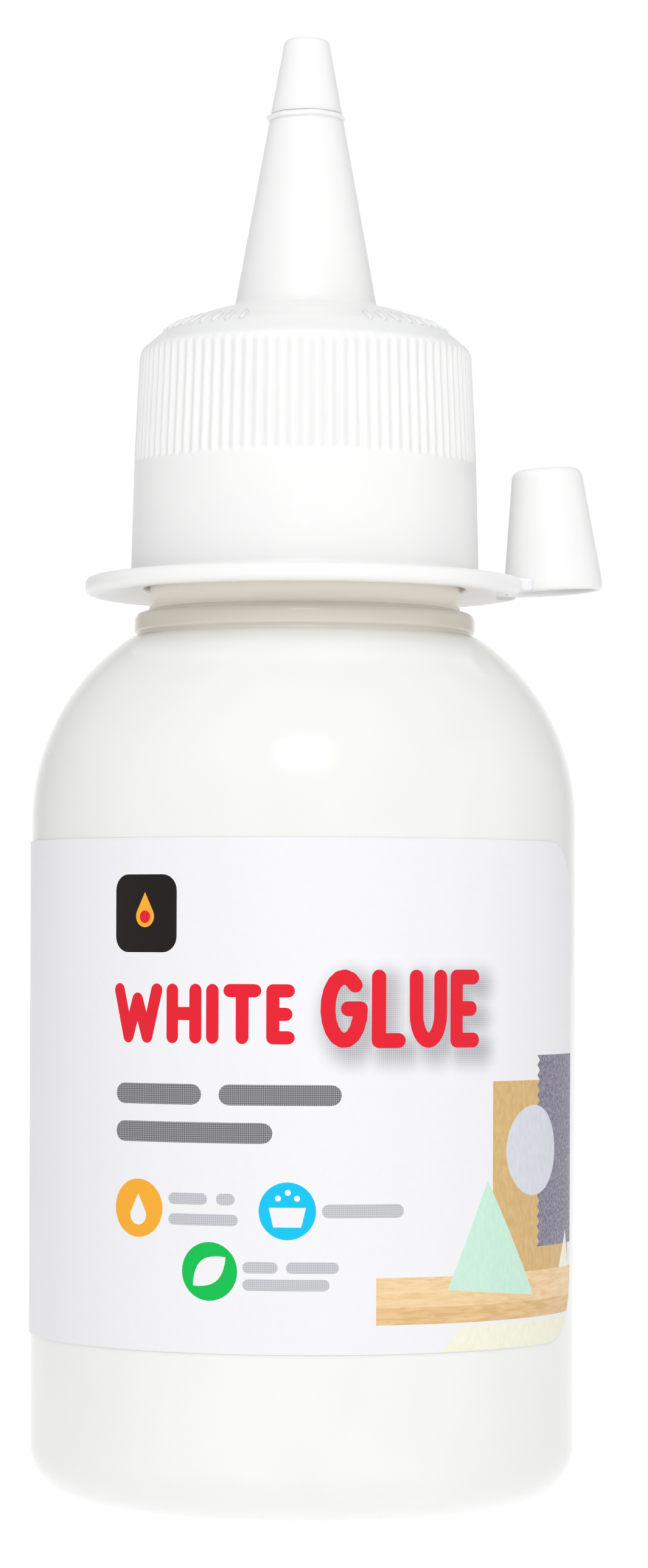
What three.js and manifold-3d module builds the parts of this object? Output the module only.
// A squeeze bottle for white glue: blow-moulded bottle, wrap label, screw cap with a tapered nozzle,
// and a small tip cap moulded beside it on a flange and a bendable tab.
// Millimetres, +Z up. The origin is on the bottle's axis, in the plane that it stands on.
// The front of the label faces -Y, and the tip cap is on the +X side.
import * as THREE from "three";
import { mergeVertices } from "three/addons/utils/BufferGeometryUtils.js";
import Module from "manifold-3d";

// ---- Driving dimensions ----
const BODY = { radius: 24.88, wall: 0.9, baseCorner: 4.8, straightTop: 61.5, facets: 48 };
const BASE = { panelRadius: 16.5, panelRecess: 0.5, bevel: 0.8, floor: 1.3 };
// The shoulder is a quarter ellipse around a ring at radius BODY.radius - across.
const SHOULDER = { across: 18.3, up: 19.5, top: 78.3 };
const NECK = { beadRadius: 15.6, beadBottom: 78.7, beadTop: 80.8, radius: 14.2, rootRadius: 12.7,
  stepBottom: 86, stepTop: 87.5, lowerBore: 12.6, bore: 10.9, top: 104 };
const LABEL = { bottom: 14.9, top: 59.6, gap: 0.02, thickness: 0.12, corner: 6, rightFacet: 10,
  facetsAround: 45 };

const PITCH = 4.233; // six threads per inch, as on a 28 mm neck
const THREAD = { turns: 1.5, stepsPerTurn: 24, baseWidth: 1.7, crestWidth: 0.8, fadeTurns: 0.12, embed: 0.2 };
const NECK_THREAD = { top: 102.2, crestRadius: 13.75 };
const CAP_THREAD = { drop: 1.45, crestRadius: 13.05 }; // drop: how far it runs below the neck's thread

const SKIRT = { footRadius: 15.95, foot: 83.86, ribBottomRadius: 15.68, ribTopRadius: 15.0, top: 104.4,
  footBore: 14.75, footBoreTop: 87.6, bore: 14.3, facets: 45 };
const RIBS = { count: 90, bottom: 94.0, grooveTop: 103.4, depth: 0.36, run: 0.6, seat: 14.7 };
// dome: the radius and height of points up the deck's domed top, from its rim to the foot of the nozzle.
const DECK = { underside: 105.2, nozzleRadius: 6.5, nozzleFoot: 108.9,
  dome: [[14.4, 105.2], [13.0, 106.35], [11.0, 107.4], [8.6, 108.2], [6.8, 108.6]] };
const NOZZLE = { slope: 0.1838, wall: 1.05, cut: 126.4, ringRadius: 3.58, ringMiddle: 126.1, ringHalf: 0.28,
  tip: 133.4, tipWall: 1.9, tipShoulder: 132.2, facets: 30 };
const WAD = { radius: 13.0, hole: 5.5, thickness: 1.0, gap: 0.08, facets: 48 };

// dish: how much higher the flange's underside is at the bore than at the rim.
const FLANGE = { radius: 20.1, bottom: 82.2, thickness: 1.6, edge: 0.6, dish: 0.6, facets: 48 };
const TIP_CAP = { mouthRadius: 4.52, topRadius: 3.1, height: 11.3, wall: 0.72, roof: 1.1, edge: 0.7,
  middle: 22.85, mouth: 82.65, lean: 3.5, facets: 32 };
const TAB = { halfWidth: 3.95, inner: 17.75, bottom: 82.5, thickness: 1.25, gap: 0.15,
  notchGap: 0.3 };

const COLORS = { bottle: 0xf1f1ea, cap: 0xf6f6f4, label: 0xf4f5fa, wad: 0xe9e9e4 };

const wasm = await Module();
wasm.setup();

// ---- Shared helpers ----
const point = (radius, height) => new THREE.Vector2(radius, height);

// Points of an ellipse arc from one angle to another, in degrees, both ends included.
function arc(middleRadius, middleHeight, across, up, from, to, steps) {
  return Array.from({ length: steps + 1 }, (_, i) => {
    const angle = THREE.MathUtils.degToRad(from + ((to - from) * i) / steps);
    return point(middleRadius + across * Math.cos(angle), middleHeight + up * Math.sin(angle));
  });
}

// A body of revolution about +Z. Facet 0 starts at -Y and the count runs towards +X.
function turned(profile, facets) {
  return new THREE.LatheGeometry(profile, facets).rotateX(Math.PI / 2);
}

function toManifold(geometry) {
  const bare = new THREE.BufferGeometry().setAttribute("position", geometry.getAttribute("position"));
  bare.setIndex(geometry.index);
  const merged = mergeVertices(bare, 1e-4);
  return new wasm.Manifold(new wasm.Mesh({
    numProp: 3,
    vertProperties: merged.attributes.position.array,
    triVerts: new Uint32Array(merged.index.array),
  }));
}

function toGeometry(manifold) {
  const mesh = manifold.getMesh();
  const geometry = new THREE.BufferGeometry();
  geometry.setAttribute("position", new THREE.BufferAttribute(mesh.vertProperties, 3));
  geometry.setIndex(new THREE.BufferAttribute(mesh.triVerts, 1));
  geometry.computeVertexNormals();
  return geometry;
}

function joined(first, ...others) {
  return toGeometry(others.reduce((sum, next) => sum.add(toManifold(next)), toManifold(first)));
}

function cut(geometry, tool) {
  return toGeometry(toManifold(geometry).subtract(toManifold(tool)));
}

function mesh(name, geometry, color, roughness) {
  const material = new THREE.MeshStandardMaterial({ color, roughness, metalness: 0 });
  const made = new THREE.Mesh(geometry, material);
  made.name = name;
  return made;
}

// A right-handed thread ridge that starts at its top and winds down. Its root is on rootRadius and its
// crest on crestRadius, so it stands outwards on a neck and inwards in a cap. Both ends fade out.
function threadRidge(top, rootRadius, crestRadius) {
  const steps = Math.round(THREAD.turns * THREAD.stepsPerTurn);
  const outward = Math.sign(crestRadius - rootRadius);
  const base = rootRadius - outward * THREAD.embed;
  const positions = [];
  for (let i = 0; i <= steps; i++) {
    const turn = i / THREAD.stepsPerTurn;
    const angle = -2 * Math.PI * turn;
    const ends = Math.min(turn, THREAD.turns - turn) / THREAD.fadeTurns;
    const crest = THREE.MathUtils.lerp(rootRadius, crestRadius, Math.min(1, 0.05 + ends));
    const middle = top - PITCH * turn;
    const section = [
      [base, -THREAD.baseWidth / 2],
      [crest, -THREAD.crestWidth / 2],
      [crest, THREAD.crestWidth / 2],
      [base, THREAD.baseWidth / 2],
    ];
    if (outward < 0) section.reverse();
    for (const [radius, up] of section) {
      positions.push(radius * Math.sin(angle), -radius * Math.cos(angle), middle + up);
    }
  }
  const index = [];
  for (let i = 0; i < steps; i++) {
    for (let corner = 0; corner < 4; corner++) {
      const a = i * 4 + corner;
      const b = i * 4 + ((corner + 1) % 4);
      index.push(a, b, b + 4, a, b + 4, a + 4);
    }
  }
  const last = steps * 4;
  index.push(0, 2, 1, 0, 3, 2, last, last + 1, last + 2, last, last + 2, last + 3);
  const geometry = new THREE.BufferGeometry();
  geometry.setAttribute("position", new THREE.Float32BufferAttribute(positions, 3));
  geometry.setIndex(index);
  return geometry;
}

// ---- Bottle ----
function bottleProfile() {
  const corner = BODY.baseCorner;
  const ringX = BODY.radius - SHOULDER.across;
  const shoulderEnd = THREE.MathUtils.radToDeg(
    Math.asin((SHOULDER.top - BODY.straightTop) / SHOULDER.up));
  const innerUp = SHOULDER.up - BODY.wall;
  const innerAcross = SHOULDER.across - BODY.wall;
  const innerEnd = THREE.MathUtils.radToDeg(Math.acos((NECK.lowerBore - ringX) / innerAcross));
  const innerCorner = corner - BODY.wall;
  return [
    point(0, BASE.panelRecess),
    point(BASE.panelRadius, BASE.panelRecess),
    point(BASE.panelRadius + BASE.bevel, 0),
    ...arc(BODY.radius - corner, corner, corner, corner, -90, 0, 5),
    ...arc(ringX, BODY.straightTop, SHOULDER.across, SHOULDER.up, 0, shoulderEnd, 8),
    point(NECK.beadRadius - 0.15, NECK.beadBottom - 0.1),
    point(NECK.beadRadius, NECK.beadBottom + 0.4),
    point(NECK.beadRadius, NECK.beadTop - 1.1),
    point(NECK.beadRadius - 0.4, NECK.beadTop - 0.35),
    point(NECK.radius + 0.2, NECK.beadTop),
    point(NECK.radius, NECK.beadTop + 0.4),
    point(NECK.radius, NECK.stepBottom),
    point(NECK.rootRadius, NECK.stepTop),
    point(NECK.rootRadius, NECK.top - 0.3),
    point(NECK.rootRadius - 0.3, NECK.top),
    point(NECK.bore, NECK.top),
    point(NECK.bore, NECK.stepTop + 1),
    point(NECK.lowerBore, NECK.stepBottom - 1),
    ...arc(ringX, BODY.straightTop, innerAcross, innerUp, innerEnd, 0, 6),
    ...arc(BODY.radius - corner, corner, innerCorner, innerCorner, 0, -60, 3),
    point(BASE.panelRadius, BASE.panelRecess + BASE.floor),
    point(0, BASE.panelRecess + BASE.floor),
  ];
}

function bottle() {
  const ridge = threadRidge(NECK_THREAD.top, NECK.rootRadius, NECK_THREAD.crestRadius);
  return joined(turned(bottleProfile(), BODY.facets), ridge);
}

// ---- Label: one sheet with round corners, wrapped on the body's facets ----
function labelAngles() {
  const facet = (2 * Math.PI) / BODY.facets;
  const end = LABEL.rightFacet * facet;
  const start = end - LABEL.facetsAround * facet;
  const cornerAngle = LABEL.corner / BODY.radius;
  const angles = [];
  for (let i = 0; i <= LABEL.facetsAround; i++) angles.push(start + i * facet);
  for (const share of [0.08, 0.3, 1]) {
    angles.push(start + share * cornerAngle, end - share * cornerAngle);
  }
  return angles.sort((a, b) => a - b);
}

function label() {
  const angles = labelAngles();
  const columns = angles.length - 1;
  const geometry = new THREE.BoxGeometry(1, 1, 1, columns, 1, 1);
  const position = geometry.getAttribute("position");
  const inner = BODY.radius + LABEL.gap;
  for (let i = 0; i < position.count; i++) {
    const angle = angles[Math.round((position.getX(i) + 0.5) * columns)];
    const toEnd = Math.min(angle - angles[0], angles[columns] - angle) * BODY.radius;
    const into = Math.max(0, LABEL.corner - toEnd);
    const inset = LABEL.corner - Math.sqrt(LABEL.corner ** 2 - into ** 2);
    const height = position.getY(i) > 0 ? LABEL.top - inset : LABEL.bottom + inset;
    const radius = position.getZ(i) > 0 ? inner + LABEL.thickness : inner;
    position.setXYZ(i, radius * Math.sin(angle), -radius * Math.cos(angle), height);
  }
  return geometry;
}

// ---- Screw cap ----
const nozzleRadius = (height) => DECK.nozzleRadius - NOZZLE.slope * (height - DECK.nozzleFoot);

// The cap's round body: skirt, deck and nozzle up to the cutting ring, open at both ends.
function capProfile() {
  const seat = SKIRT.ribBottomRadius - RIBS.depth - 0.15;
  const ring = NOZZLE.ringMiddle;
  return [
    point(SKIRT.footBore, SKIRT.foot),
    point(SKIRT.footRadius, SKIRT.foot),
    point(SKIRT.ribBottomRadius, RIBS.bottom + 0.05),
    point(seat, RIBS.bottom + 0.3),
    point(seat - 0.4, SKIRT.top - 0.6),
    point(SKIRT.ribTopRadius - 0.05, SKIRT.top - 0.2),
    ...DECK.dome.map(([radius, height]) => point(radius, height)),
    point(DECK.nozzleRadius, DECK.nozzleFoot),
    point(nozzleRadius(ring - NOZZLE.ringHalf), ring - NOZZLE.ringHalf),
    point(NOZZLE.ringRadius, ring - 0.1),
    point(NOZZLE.ringRadius, ring + 0.1),
    point(nozzleRadius(NOZZLE.cut), NOZZLE.cut),
    point(nozzleRadius(NOZZLE.cut) - NOZZLE.wall, NOZZLE.cut),
    point(nozzleRadius(DECK.underside) - NOZZLE.wall - 0.5, DECK.underside),
    point(SKIRT.bore - 0.6, DECK.underside),
    point(SKIRT.bore, DECK.underside - 0.6),
    point(SKIRT.bore, SKIRT.footBoreTop + 0.8),
    point(SKIRT.footBore, SKIRT.footBoreTop),
    point(SKIRT.footBore, SKIRT.foot),
  ];
}

// The grip: a sleeve with upright ribs whose grooves fade out at both ends.
function ribSleeve() {
  const crest = (height) => THREE.MathUtils.mapLinear(
    height, RIBS.bottom, RIBS.grooveTop, SKIRT.ribBottomRadius, SKIRT.ribTopRadius + 0.33);
  const grooved = [RIBS.bottom + RIBS.run, RIBS.grooveTop];
  const sleeve = turned([
    point(RIBS.seat, RIBS.bottom),
    point(crest(RIBS.bottom), RIBS.bottom),
    ...grooved.map((height) => point(crest(height), height)),
    point(SKIRT.ribTopRadius, SKIRT.top),
    point(RIBS.seat - 0.2, SKIRT.top),
    point(RIBS.seat, RIBS.bottom),
  ], 2 * RIBS.count);
  const position = sleeve.getAttribute("position");
  for (let i = 0; i < position.count; i++) {
    const radius = Math.hypot(position.getX(i), position.getY(i));
    const height = position.getZ(i);
    const row = grooved.some((z) => Math.abs(z - height) < 1e-3) && radius > RIBS.seat + 0.1;
    const angle = Math.atan2(position.getX(i), -position.getY(i));
    const isGroove = Math.abs(Math.round((angle * RIBS.count) / Math.PI)) % 2 === 1;
    if (!row || !isGroove) continue;
    const scale = (radius - RIBS.depth) / radius;
    position.setXYZ(i, position.getX(i) * scale, position.getY(i) * scale, height);
  }
  return sleeve;
}

function screwCap() {
  const ridge = threadRidge(NECK_THREAD.top - CAP_THREAD.drop, SKIRT.bore, CAP_THREAD.crestRadius);
  return joined(turned(capProfile(), SKIRT.facets), ribSleeve(), ridge);
}

// The closed end of the nozzle, which is cut away before first use.
function nozzleTip() {
  const foot = NOZZLE.cut + 0.05;
  const shoulderRadius = nozzleRadius(NOZZLE.tipShoulder);
  const wall = NOZZLE.wall;
  const boreTop = NOZZLE.tip - NOZZLE.tipWall;
  return turned([
    point(0, boreTop),
    point(nozzleRadius(boreTop) - wall - 0.1, boreTop - 0.2),
    point(nozzleRadius(foot) - wall, foot),
    point(nozzleRadius(foot), foot),
    point(shoulderRadius, NOZZLE.tipShoulder),
    ...arc(shoulderRadius - 1.0, NOZZLE.tip - 1.0, 0.93, 1.0, 15, 90, 4),
    point(0, NOZZLE.tip),
  ], NOZZLE.facets);
}

// The soft disc that seals the bottle's mouth under the deck, with a hole for the glue.
function sealingWad() {
  const bottom = NECK.top + WAD.gap;
  const top = bottom + WAD.thickness;
  return turned([
    point(WAD.hole, bottom),
    point(WAD.radius, bottom),
    point(WAD.radius, top),
    point(WAD.hole, top),
    point(WAD.hole, bottom),
  ], WAD.facets);
}

// ---- Flange, tab and tip cap ----
function flange() {
  const { radius, bottom, thickness, edge, dish } = FLANGE;
  const top = bottom + thickness;
  const ring = turned([
    point(SKIRT.footBore, bottom + dish),
    ...arc(radius - edge, bottom + edge, edge, edge, -90, 0, 3),
    ...arc(radius - edge, top - edge, edge, edge, 0, 90, 3),
    point(SKIRT.footBore, top),
    point(SKIRT.footBore, bottom + dish),
  ], FLANGE.facets);
  const width = 2 * (TAB.halfWidth + TAB.notchGap);
  const notch = new THREE.BoxGeometry(radius, width, 4 * thickness)
    .translate(TAB.inner - TAB.notchGap + radius / 2, 0, bottom + thickness / 2);
  return cut(ring, notch);
}

// A flat web whose outer edge is hollowed to fit round the tip cap.
function tab() {
  const hollow = TIP_CAP.mouthRadius + TAB.gap;
  const reach = Math.sqrt(hollow ** 2 - TAB.halfWidth ** 2);
  const turn = Math.atan2(TAB.halfWidth, -reach);
  const outline = new THREE.Shape()
    .moveTo(TAB.inner, -TAB.halfWidth)
    .lineTo(TIP_CAP.middle - reach, -TAB.halfWidth)
    .absarc(TIP_CAP.middle, 0, hollow, -turn, turn, true)
    .lineTo(TAB.inner, TAB.halfWidth);
  return new THREE.ExtrudeGeometry(outline, { depth: TAB.thickness, bevelEnabled: false, curveSegments: 12 })
    .translate(0, 0, TAB.bottom);
}

function tipCap() {
  const { mouthRadius, topRadius, height, wall, roof, edge, facets } = TIP_CAP;
  return turned([
    point(0, height - roof),
    point(topRadius - wall - 0.3, height - roof),
    point(topRadius - wall, height - roof - 0.3),
    point(mouthRadius - wall, 0.25),
    point(mouthRadius - wall + 0.25, 0),
    point(mouthRadius - 0.15, 0),
    point(mouthRadius, 0.2),
    ...arc(topRadius - edge + 0.05, height - edge, edge, edge, 5, 90, 4),
    point(0, height),
  ], facets);
}

// ---- Assembly ----
const part = new THREE.Group();
part.add(mesh("bottle", bottle(), COLORS.bottle, 0.28));
part.add(mesh("wrap_label", label(), COLORS.label, 0.35));
part.add(mesh("sealing_wad", sealingWad(), COLORS.wad, 0.8));
part.add(mesh("screw_cap", screwCap(), COLORS.cap, 0.35));
part.add(mesh("nozzle_tip", nozzleTip(), COLORS.cap, 0.35));
part.add(mesh("flange_collar", flange(), COLORS.cap, 0.35));
part.add(mesh("tip_cap_tab", tab(), COLORS.cap, 0.35));

const leaning = new THREE.Group();
leaning.position.set(TIP_CAP.middle, 0, TIP_CAP.mouth);
leaning.rotation.y = THREE.MathUtils.degToRad(-TIP_CAP.lean);
leaning.add(mesh("tip_cap", tipCap(), COLORS.cap, 0.35));
part.add(leaning);

export default part;
